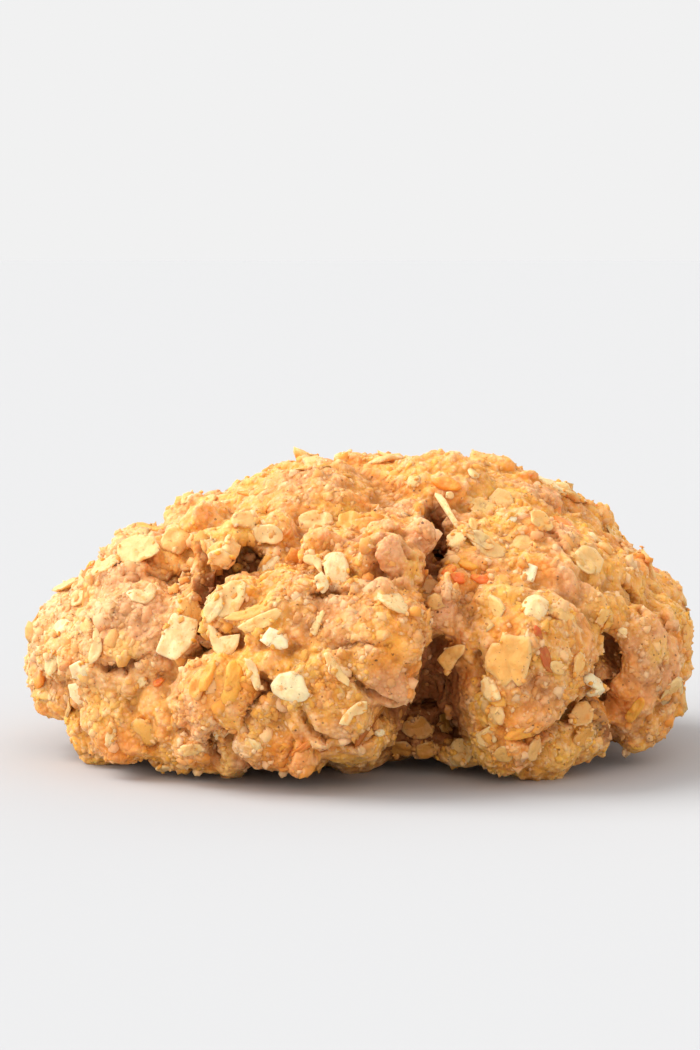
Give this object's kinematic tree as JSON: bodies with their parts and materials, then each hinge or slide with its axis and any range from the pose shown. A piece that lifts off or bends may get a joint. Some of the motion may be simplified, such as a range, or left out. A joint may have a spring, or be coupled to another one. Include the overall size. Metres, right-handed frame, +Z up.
{
  "type": "carrot cake cookie",
  "caption": "Domed drop cookie of rough oat dough with clods, cracks, oat flakes and carrot shreds in relief, resting on a flat underside.",
  "frame": {"origin": "on the flat underside, below the middle of the outline", "axes": "+Z up, the top of the dome; -Y the cracked front; +X to the right seen from the front, along the slightly longer width"},
  "size_m": [0.0697, 0.0666, 0.0302],
  "materials": {
    "dough": "matte, crumbly",
    "oat": "matte, slightly waxy",
    "carrot": "satin, moist"
  },
  "bodies": {
    "root": {"cookie": "dough"}
  },
  "joints": []
}
